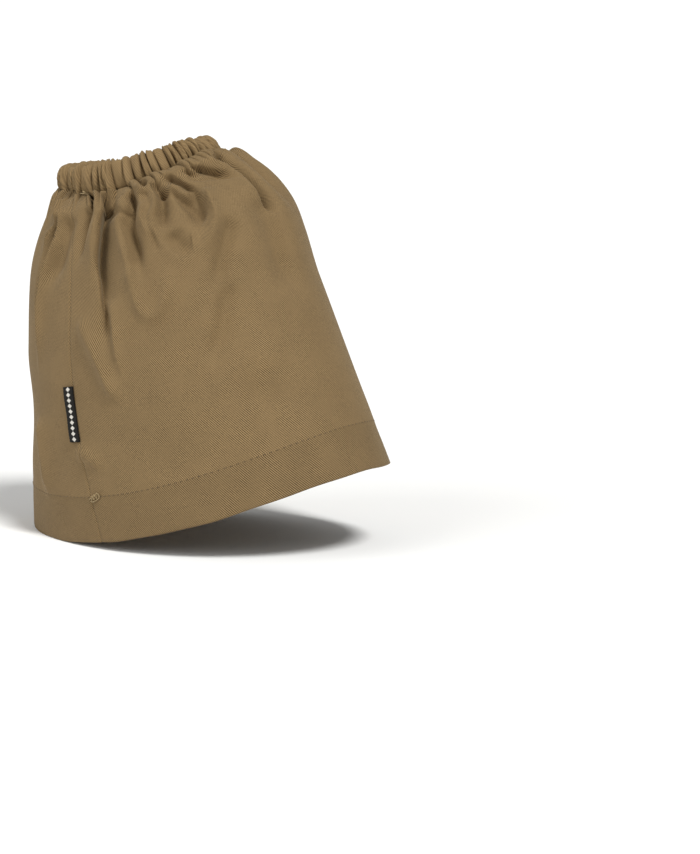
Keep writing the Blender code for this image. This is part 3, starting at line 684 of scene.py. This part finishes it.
def twill_finish(scene, name, tone=1.0, ribs=1.0):
    """Polyester-cotton twill, khaki from piece dyeing: matt, with fine diagonal ribs that run down to the
    right, uneven yarn, a little sheen at grazing angles and faint mottling from the dye. The panel,
    the pressed hem and the gathered casing differ in the tone, a brightness painted over the cloth's
    colour: painted shade on the hem and painted light on the casing. They also differ in ribs, which is
    how clear they are, from 0 to 1."""
    sizes, colours = scene.boot_cover_sizes, scene.boot_cover_colours
    finish, tree, shader = new_finish(name, {
        "Specular IOR Level": 0.25, "Sheen Weight": 0.18, "Sheen Roughness": 0.45,
        "Sheen Tint": rgba(linear("#D8C8A8"))})
    cut = add_node(tree, "UVMap", {"uv_map": "cut"}, {})
    place = add_node(tree, "TexCoord", {}, {})
    turned = add_node(tree, "Mapping", {"vector_type": "POINT"}, {
        "Vector": cut.outputs["UV"], "Rotation": (0, 0, math.radians(90 - RIB_SLOPE))})
    rib, crossing = (
        add_node(tree, "TexWave", {"wave_type": "BANDS", "bands_direction": way}, {
            "Vector": turned.outputs["Vector"], "Scale": band_scale(spacing), "Distortion": distortion,
            "Detail": 2.0, "Detail Scale": fineness, "Detail Roughness": 0.6})
        for way, spacing, distortion, fineness in (
            ("X", sizes.rib, 0.8, 1.6), ("Y", 0.7 * sizes.rib, 1.6, 2.0)))
    broken = add_node(tree, "Mix", {"data_type": "FLOAT"}, {
        0: 0.16, 2: rib.outputs["Fac"], 3: crossing.outputs["Fac"]})
    yarn = add_node(tree, "TexNoise", {}, {
        "Vector": cut.outputs["UV"], "Scale": 1 / (1.1 * MM), "Detail": 2.0, "Roughness": 0.6})
    dye = add_node(tree, "TexNoise", {}, {
        "Vector": place.outputs["Object"], "Scale": 1 / (16 * MM), "Detail": 4.0, "Roughness": 0.65})
    weave = add_node(tree, "Mix", {"data_type": "FLOAT"}, {
        0: 0.25, 2: broken.outputs[0], 3: yarn.outputs["Fac"]})
    wear = add_node(tree, "TexNoise", {}, {
        "Vector": cut.outputs["UV"], "Scale": 1 / (9 * MM), "Detail": 3.0, "Roughness": 0.6})
    clear = add_node(tree, "MapRange", {}, {
        "Value": wear.outputs["Fac"], "From Min": 0.35, "From Max": 0.6,
        "To Min": 0.3 * ribs, "To Max": ribs})
    ramp = add_node(tree, "MapRange", {"clamp": False}, {
        "Value": weave.outputs[0], "From Min": 0.52, "From Max": 0.86, "To Min": 0.5, "To Max": 1.0})
    ribbed = add_node(tree, "Mix", {"data_type": "FLOAT"}, {
        0: clear.outputs["Result"], 2: 0.5, 3: ramp.outputs["Result"]})
    cloth = add_node(tree, "Mix", {"data_type": "RGBA"}, {
        0: ribbed.outputs[0], 6: rgba(colours.twill_dark), 7: rgba(colours.twill_light)})
    # The tone scales the colour on top of the dye's mottling: painted shade on the hem, painted light on the
    # casing.
    shade = add_node(tree, "MapRange", {}, {
        "Value": dye.outputs["Fac"], "From Min": 0.3, "From Max": 0.7,
        "To Min": 0.93 * tone, "To Max": 1.07 * tone})
    dyed_and_painted_tone = add_node(tree, "VectorMath", {"operation": "SCALE"}, {
        0: cloth.outputs[2], "Scale": shade.outputs["Result"]})
    rough = add_node(tree, "MapRange", {}, {
        "Value": weave.outputs[0], "To Min": 0.92, "To Max": 0.78})
    bump = add_node(tree, "Bump", {}, {
        "Height": weave.outputs[0], "Strength": 0.6 * ribs, "Distance": 0.12 * MM})
    set_inputs(tree, shader, {
        "Base Color": dyed_and_painted_tone.outputs[0], "Roughness": rough.outputs["Result"],
        "Normal": bump.outputs["Normal"]})
    return finish


def thread_finish(name, colour):
    """Spun polyester sewing thread: two plies twisted, so the shade turns along the thread."""
    finish, tree, shader = new_finish(name, {
        "Roughness": 0.7, "Specular IOR Level": 0.35, "Sheen Weight": 0.1})
    cut = add_node(tree, "UVMap", {"uv_map": "cut"}, {})
    ply = add_node(tree, "TexWave", {"wave_type": "BANDS", "bands_direction": "DIAGONAL"}, {
        "Vector": cut.outputs["UV"], "Scale": band_scale(0.5 * MM), "Distortion": 0.4})
    dark = tuple(c * 0.6 for c in colour)
    mixed = add_node(tree, "Mix", {"data_type": "RGBA"}, {
        0: ply.outputs["Fac"], 6: rgba(dark), 7: rgba(colour)})
    bump = add_node(tree, "Bump", {}, {
        "Height": ply.outputs["Fac"], "Strength": 0.5, "Distance": 0.06 * MM})
    set_inputs(tree, shader, {"Base Color": mixed.outputs[2], "Normal": bump.outputs["Normal"]})
    return finish


def label_finish(name, sizes, colours):
    """Damask-woven polyester label tape: satin black with fine ribs across, and a row of plain
    lozenges 0.42 of the way out, inside which the ways from the middle, as shares of the half height
    and half width, add up to less than 1."""
    finish, tree, shader = new_finish(name, {"Roughness": 0.6, "Specular IOR Level": 0.2})
    cut = add_node(tree, "UVMap", {"uv_map": "cut"}, {})
    rib = add_node(tree, "TexWave", {"wave_type": "BANDS", "bands_direction": "Y"}, {
        "Vector": cut.outputs["UV"], "Scale": band_scale(0.35 * MM), "Distortion": 0.3})
    parts = add_node(tree, "SeparateXYZ", {}, {"Vector": cut.outputs["UV"]})
    pitch = LABEL_LENGTH * MM / (sizes.marks + 1)
    half_height, half_width = 1.05 * MM, 1.25 * MM
    steps = add_node(tree, "Math", {"operation": "DIVIDE"}, {0: parts.outputs["Y"], 1: pitch})
    from_mark = add_node(tree, "Math", {"operation": "PINGPONG"}, {0: steps.outputs[0], 1: 0.5})
    tall = add_node(tree, "Math", {"operation": "SUBTRACT"}, {0: 0.5, 1: from_mark.outputs[0]})
    high = add_node(tree, "Math", {"operation": "MULTIPLY"}, {
        0: tall.outputs[0], 1: pitch / half_height})
    aside = add_node(tree, "Math", {"operation": "SUBTRACT"}, {
        0: parts.outputs["X"], 1: LABEL_REACH * 0.42 * MM})
    far = add_node(tree, "Math", {"operation": "ABSOLUTE"}, {0: aside.outputs[0]})
    wide = add_node(tree, "Math", {"operation": "DIVIDE"}, {0: far.outputs[0], 1: half_width})
    total = add_node(tree, "Math", {"operation": "ADD"}, {0: high.outputs[0], 1: wide.outputs[0]})
    inside = add_node(tree, "MapRange", {}, {
        "Value": total.outputs[0], "From Min": 0.9, "From Max": 1.05, "To Min": 1.0, "To Max": 0.0})
    colour = add_node(tree, "Mix", {"data_type": "RGBA"}, {
        0: inside.outputs["Result"], 6: rgba(colours.label), 7: rgba(colours.label_mark)})
    bump = add_node(tree, "Bump", {}, {
        "Height": rib.outputs["Fac"], "Strength": 0.5, "Distance": 0.05 * MM})
    set_inputs(tree, shader, {"Base Color": colour.outputs[2], "Normal": bump.outputs["Normal"]})
    return finish


def elastic_finish(name, colours):
    """Braided polyester and rubber elastic: off-white, with fine ribs across the band."""
    finish, tree, shader = new_finish(name, {"Roughness": 0.75, "Sheen Weight": 0.1})
    place = add_node(tree, "TexCoord", {}, {})
    braid = add_node(tree, "TexWave", {"wave_type": "BANDS", "bands_direction": "Z"}, {
        "Vector": place.outputs["Object"], "Scale": band_scale(0.9 * MM), "Distortion": 0.6})
    grey = tuple(c * 0.7 for c in colours.elastic)
    mixed = add_node(tree, "Mix", {"data_type": "RGBA"}, {
        0: braid.outputs["Fac"], 6: rgba(grey), 7: rgba(colours.elastic)})
    bump = add_node(tree, "Bump", {}, {
        "Height": braid.outputs["Fac"], "Strength": 0.5, "Distance": 0.1 * MM})
    set_inputs(tree, shader, {"Base Color": mixed.outputs[2], "Normal": bump.outputs["Normal"]})
    return finish


# ---------------------------------------------------------------- pieces


class OBJECT_OT_boot_cover_body(bpy.types.Operator):
    """Adds the body panel, from the casing's stitches to the hem's stitches."""

    bl_idname = "object.boot_cover_body"
    bl_label = "Body panel"

    def execute(self, context):
        sizes = context.scene.boot_cover_sizes
        even = np.linspace(0, 1, PANEL_ROWS)
        # Rows lie closer together near the casing, where the pleats are
        shares = 0.3 * even + 0.7 * even ** 2
        shares = np.concatenate(([0, CUT_EDGE], shares[1:-1], [1 - CUT_EDGE, 1]))
        turn, down = np.meshgrid(pleat_columns(), HEM_TOP * shares)
        both_faces = np.array((0, -sizes.cloth / MM))[:, None, None]
        faces = panel_face(turn, down, sizes, both_faces)
        uv = np.stack((along_rows(faces[0]) * CUT_WIDTH, down * PANEL_LENGTH), axis=-1)
        finish = twill_finish(context.scene, "khaki polyester-cotton twill")
        piece = lofted_piece("cover_body", *faces, uv, finish, "twill")
        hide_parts("body_panel")
        return {"FINISHED"}


def casing_relief(turn, share, leg, sizes):
    """How far the casing's pleats stand out in mm: a quarter more and less by a sine of the way up,
    less on the inner leg, on the stitches and towards the crest. At the very back the elastic lies
    close under the cloth, and there the grooves are shallower by a bell round that place."""
    back = np.exp(-((1 + np.cos(cloth_angle(turn, np.zeros_like(turn)))) / BACK_REACH) ** 2)
    wave = 1 + 0.25 * np.sin(2 * np.pi * (0.8 * share + 3 * pleat_reach(turn)))
    ridges = pleat_ridge(turn) * wave * (1 - BACK_FLATNESS * back) - CASING_GROOVE * (1 - back)
    return ridges * sizes.pleat / MM * leg * stitch_pinch(share / 0.2) * (1 - 0.45 * share ** 3)


class OBJECT_OT_boot_cover_casing(bpy.types.Operator):
    """Adds the gathered casing, folded over the elastic."""

    bl_idname = "object.boot_cover_casing"
    bl_label = "Casing"

    def execute(self, context):
        sizes = context.scene.boot_cover_sizes
        knots = np.linspace(0, 1, len(CASING_PROFILE))
        step = np.linspace(0, 1, CASING_ROWS)
        turns = pleat_columns()
        turn, share = np.meshgrid(turns, smooth_rows(knots, CASING_PROFILE[:, 0], step))
        proud = np.meshgrid(turns, smooth_rows(knots, CASING_PROFILE[:, 1], step))[1]
        foot, crest, _ = casing_side(cloth_angle(turn, np.zeros_like(turn)))
        rise = np.linalg.norm(crest - foot, axis=-1)
        # The pleats stand out square to the profile, most on the outer leg
        up, out = (share - 0.5) * rise * 0.35, proud - CHANNEL_TURN
        length = np.hypot(up, out)
        leg = 0.5 + 0.5 * np.clip(out / -CHANNEL_TURN, -0.3, 1)
        relief = casing_relief(turn, share, leg, sizes)
        # They lean back a little towards the crest, but not within 10 mm of the seam
        from_seam = turn_from_seam(turn) * girth(0.0)
        slant = CASING_SLANT * share * (1 - np.exp(-(from_seam / 10) ** 2))
        faces = []
        for inset in (0, sizes.cloth / MM):
            move = relief - inset
            raised = share + move * up / length / rise
            faces.append(casing_face(turn - slant, raised, proud + move * out / length))
        over = np.broadcast_to(np.linspace(-CASING_WRAP, 0, CASING_ROWS)[:, None], turn.shape)
        uv = np.stack((along_rows(faces[0]) * CASING_SPAN, over), axis=-1)
        # The casing's twill is a brighter copy of the panel's: painted light.
        finish = twill_finish(context.scene, "gathered twill", CASING_PAINTED_LIGHT, CASING_RIBS)
        piece = lofted_piece("gathered_casing", *faces, uv, finish, "twill")
        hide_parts("top_casing")
        return {"FINISHED"}


class OBJECT_OT_boot_cover_hem(bpy.types.Operator):
    """Adds the hem: the lower edge turned up inside, two layers with a soft round fold."""

    bl_idname = "object.boot_cover_hem"
    bl_label = "Hem"

    def execute(self, context):
        sizes = context.scene.boot_cover_sizes
        thick = HEM_LAYERS * (sizes.cloth / MM)
        # Each row's depth below the stitches and its place outwards
        rows = np.insert(np.linspace(0, 1, HEM_ROWS), 1, CUT_EDGE)
        outside = np.stack((rows * HEM_DEPTH, np.zeros(len(rows))))
        fold = np.stack((
            np.sin(HALF_TURN) * thick / 2 + HEM_DEPTH, np.cos(HALF_TURN) * thick / 2 - thick / 2))
        turned_up = np.linspace(1, -HEM_OVERRUN, HEM_INNER_ROWS) * HEM_DEPTH
        inside = np.stack((turned_up, np.full(HEM_INNER_ROWS, -thick)))
        below, proud = np.concatenate((outside, fold, inside), axis=1)
        turn, depth = np.meshgrid(pleat_columns(), below)
        proud = np.meshgrid(pleat_columns(), proud)[1]
        down = HEM_TOP + depth / PANEL_LENGTH
        points, quads = closed_wall(hem_face(turn, down, sizes, proud))
        uv = np.stack((along_rows(points) * CUT_WIDTH, down * PANEL_LENGTH), axis=-1)
        # The hem's twill is a darker copy of the panel's: painted shade.
        finish = twill_finish(context.scene, "pressed double twill with painted shade", HEM_PAINTED_SHADE)
        piece = new_piece("hem", points, quads, uv, finish)
        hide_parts("hem_band")
        return {"FINISHED"}


def hem_face(turn, down, sizes, proud):
    """The hem's surface: the panel's, and past its edge straight on, where the edge waves up and
    down by two sines of the way round, 0.15 and 0.1 mm high."""
    held = np.clip(down, 0, 1)
    depth = (down - HEM_TOP) * PANEL_LENGTH
    around = turn * CUT_WIDTH
    wave = 0.15 * np.sin(around / 9.0 + 2.0 * np.sin(around / 40)) + 0.1 * np.sin(around / 4.1)
    below = (down - held) * PANEL_LENGTH + wave * np.clip(depth / HEM_DEPTH, 0, 1) ** 3
    angle = cloth_angle(turn, held)
    step = base_panel(angle, np.full_like(angle, 1.0)) - base_panel(angle, np.full_like(angle, 0.97))
    return panel_face(turn, held, sizes, proud) + unit(step) * below[..., None]


class OBJECT_OT_boot_cover_sewing(bpy.types.Operator):
    """Adds the sewing: the hem's stitches, the back-tack on the seam and a loose thread end."""

    bl_idname = "object.boot_cover_sewing"
    bl_label = "Sewing"

    def execute(self, context):
        sizes = context.scene.boot_cover_sizes
        colours = context.scene.boot_cover_colours
        thread = sizes.thread / MM
        count = int(CUT_WIDTH / (sizes.stitch / MM))
        turn = (np.arange(count)[:, None] + np.linspace(*STITCH_SPAN, STITCH_POINTS)) / count
        down = np.full_like(turn, HEM_TOP)
        lift = STITCH_RISE * np.sin(np.pi * np.linspace(0, 1, STITCH_POINTS)) - STITCH_SINK
        path = panel_face(turn, down, sizes, np.broadcast_to(lift, turn.shape))
        # Each is full in its middle and thin where it goes into the cloth
        radii = thread / 2 * np.sin(np.pi * np.linspace(0.06, 0.94, STITCH_POINTS)) ** 0.4
        radii[[0, -1]] = THREAD_TIP
        # The stitches' dark thread colour is partly painted shade.
        finish = thread_finish("spun polyester thread with painted shade", tuple(colours.thread))
        threads_piece("hem_stitches", turn, down, path, np.broadcast_to(radii, turn.shape),
                      turn * CUT_WIDTH, finish)
        ends = thread_finish("loose thread ends", tuple(colours.thread_end))
        for name, way in THREADS.items():
            loose_thread(name, np.array(way), LOOSE_THREAD * thread, sizes, ends)
        return {"FINISHED"}


def threads_piece(name, turn, down, path, radii, lengths, finish):
    """Threads over these places of the cloth, with the way along them as their UV map's first part."""
    up = panel_normals(cloth_angle(turn, down), down)
    points, quads = tubes(path, radii, THREAD_SIDES, up)
    uv = np.stack(np.broadcast_arrays(lengths[..., None], np.linspace(0, 1, THREAD_SIDES)), axis=-1)
    new_piece(name, points, quads, uv, finish)


def loose_thread(name, way, thread, sizes, finish):
    """One loose thread: a smooth curve through its points, with 12 steps to each, laid over the
    cloth. From one point to the next its UV map goes on by 1.5 mm."""
    knots = np.arange(len(way), dtype=float)
    at = np.linspace(0, len(way) - 1, 12 * len(way))[None]
    around, down, proud = (smooth_rows(knots, way[:, i], at) for i in range(3))
    turn = (around / girth(down)) % 1
    radii = np.full(turn.shape, thread / 2)
    radii[:, [0, -1]] = THREAD_TIP
    path = panel_face(turn, down, sizes, proud)
    threads_piece(name, turn, down, path, radii, at * 1.5, finish)


class OBJECT_OT_boot_cover_label(bpy.types.Operator):
    """Adds the side label: a tape folded in two and caught in the seam."""

    bl_idname = "object.boot_cover_label"
    bl_label = "Side label"

    def execute(self, context):
        sizes = context.scene.boot_cover_sizes
        across_steps, along_steps = LABEL_STEPS
        bend_at = LABEL_REACH - LABEL_FOLD
        flat = np.linspace(-LABEL_TUCK, bend_at, across_steps)
        side = np.full(across_steps, LABEL_FOLD)
        reach = np.concatenate((flat, bend_at + LABEL_FOLD * np.sin(HALF_TURN), flat[::-1]))
        height = np.concatenate((side, LABEL_FOLD * np.cos(HALF_TURN), -side))
        length = np.linspace(*LABEL_DOWN, along_steps)
        across, down = np.meshgrid(reach, length, indexing="ij")
        proud = np.meshgrid(height, length, indexing="ij")[0]
        # It stands off more towards its fold, and waves a little along its length
        below = (down - LABEL_DOWN[0]) * PANEL_LENGTH
        lift = 0.5 + 0.35 * (across / LABEL_REACH) ** 2 + 0.12 * np.sin(9 * below / LABEL_LENGTH)
        shrink = (LABEL_FOLD - LABEL_LAYER) / LABEL_FOLD
        outer = self.face(across, down, lift + proud, sizes)
        inner_across = np.where(across > bend_at, across - LABEL_LAYER, across)
        inner = self.face(inner_across, down, lift + proud * shrink, sizes)
        uv = np.stack((across, below), axis=-1)[:, ::-1]
        finish = label_finish("woven label tape", sizes, context.scene.boot_cover_colours)
        piece = lofted_piece("folded_label", outer[:, ::-1], inner[:, ::-1], uv, finish, "label")
        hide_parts("side_label")
        return {"FINISHED"}

    @staticmethod
    def face(across, down, proud, sizes):
        """Points this far back from the seam, over the panel's own surface."""
        return panel_face(1 - across / girth(down) % 1, down, sizes, proud)


class OBJECT_OT_boot_cover_elastic(bpy.types.Operator):
    """Gives the elastic inside the casing its finish."""

    bl_idname = "object.boot_cover_elastic"
    bl_label = "Elastic"

    def execute(self, context):
        finish = elastic_finish("braided elastic", context.scene.boot_cover_colours)
        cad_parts["elastic_band"].material_slots[0].material = finish
        return {"FINISHED"}


class OBJECT_OT_boot_cover_cloth(bpy.types.Operator):
    """A step that does nothing; it runs once the pieces are there."""

    bl_idname = "object.boot_cover_cloth"
    bl_label = "State the cut"

    def execute(self, context):
        return {"FINISHED"}


# ---------------------------------------------------------------- stage


def camera_axes():
    """The camera's right, up and forward directions, and its place in mm, from its azimuth and
    pitch and from the pixel where the origin is seen."""
    azimuth, pitch = math.radians(CAMERA_AZIMUTH), math.radians(CAMERA_PITCH)
    level = np.array((-math.sin(azimuth), math.cos(azimuth), 0.0))
    forward = level * math.cos(pitch) - np.array((0.0, 0.0, math.sin(pitch)))
    right = np.array((math.cos(azimuth), math.sin(azimuth), 0.0))
    up = np.cross(right, forward)
    aside = (ORIGIN_SEEN_AT[0] - PHOTO_SIZE[0] / 2) / PIXELS_PER_MM
    above = (PHOTO_SIZE[1] / 2 - ORIGIN_SEEN_AT[1]) / PIXELS_PER_MM
    place = -CAMERA_DISTANCE * forward - aside * right - above * up
    return right, up, forward, place


def soft_light(name, strength, softness, azimuth, elevation):
    """Even light from one direction, as from a large studio panel far away."""
    data = bpy.data.lights.new(name, "SUN")
    data.energy = strength
    data.angle = math.radians(softness)
    lamp = bpy.data.objects.new(name, data)
    bpy.context.scene.collection.objects.link(lamp)
    lamp.rotation_euler = (math.radians(90 - elevation), 0, math.radians(azimuth))


class SCENE_OT_boot_cover_stage(bpy.types.Operator):
    """Adds the pale floor, the studio light and the camera."""

    bl_idname = "scene.boot_cover_stage"
    bl_label = "Stage"

    def execute(self, context):
        scene = context.scene
        scene.view_settings.view_transform = "Standard"
        bpy.ops.mesh.primitive_circle_add(
            vertices=96, radius=FLOOR_RADIUS, fill_type="NGON",
            location=(0, 0, CAD_BOX[0].z - FLOOR_DROP * MM))
        floor = context.active_object
        floor.name = "floor"
        finish, tree, shader = new_finish("matt painted floor", {
            "Base Color": rgba(scene.boot_cover_colours.floor), "Roughness": 0.9})
        place = add_node(tree, "TexCoord", {}, {})
        grain = add_node(tree, "TexNoise", {}, {"Vector": place.outputs["Object"], "Scale": 30.0})
        bump = add_node(tree, "Bump", {}, {
            "Height": grain.outputs["Fac"], "Strength": 0.05, "Distance": 0.2 * MM})
        set_inputs(tree, shader, {"Normal": bump.outputs["Normal"]})
        floor.data.materials.append(finish)
        world = scene.world or bpy.data.worlds.new("studio")
        scene.world = world
        world.use_nodes = True
        room = world.node_tree.nodes["Background"]
        set_inputs(world.node_tree, room, {"Color": (1, 1, 1, 1), "Strength": ROOM_LIGHT})
        for name, setting in LIGHTS.items():
            soft_light(name, *setting)
        data = bpy.data.cameras.new("camera")
        camera = bpy.data.objects.new("camera", data)
        scene.collection.objects.link(camera)
        right, up, forward, at = camera_axes()
        turn = np.array((right, up, -forward)).T
        camera.matrix_world = Matrix.Translation((at * MM).tolist()) @ Matrix(turn.tolist()).to_4x4()
        data.sensor_width = SENSOR
        data.lens = CAMERA_DISTANCE * PIXELS_PER_MM * SENSOR / max(PHOTO_SIZE)
        data.clip_start, data.clip_end = 0.01, 100
        scene.camera = camera
        return {"FINISHED"}


class VIEW3D_PT_boot_cover(bpy.types.Panel):
    """Sidebar panel with the cover's sizes, colours and pieces."""

    bl_idname = "VIEW3D_PT_boot_cover"
    bl_label = "Boot cover"
    bl_space_type = "VIEW_3D"
    bl_region_type = "UI"
    bl_category = "Boot cover"

    def draw(self, context):
        layout = self.layout
        for group in (context.scene.boot_cover_sizes, context.scene.boot_cover_colours):
            for name in group.__annotations__:
                layout.prop(group, name)
        for step in STEPS:
            layout.operator(step.bl_idname)


STEPS = (
    SCENE_OT_boot_cover_stage,
    OBJECT_OT_boot_cover_body,
    OBJECT_OT_boot_cover_casing,
    OBJECT_OT_boot_cover_hem,
    OBJECT_OT_boot_cover_sewing,
    OBJECT_OT_boot_cover_label,
    OBJECT_OT_boot_cover_elastic,
    OBJECT_OT_boot_cover_cloth,
)
CLASSES = (BootCoverSizes, BootCoverColours, *STEPS, VIEW3D_PT_boot_cover)


def register():
    """Registers the classes and hangs the settings on the scene."""
    for cls in CLASSES:
        bpy.utils.register_class(cls)
    bpy.types.Scene.boot_cover_sizes = PointerProperty(type=BootCoverSizes)
    bpy.types.Scene.boot_cover_colours = PointerProperty(type=BootCoverColours)


def unregister():
    """Takes the settings and the classes away again."""
    del bpy.types.Scene.boot_cover_colours
    del bpy.types.Scene.boot_cover_sizes
    for cls in reversed(CLASSES):
        bpy.utils.unregister_class(cls)


def main():
    register()
    for step in STEPS:
        group, name = step.bl_idname.split(".")
        getattr(getattr(bpy.ops, group), name)()


if __name__ == "__main__":
    main()
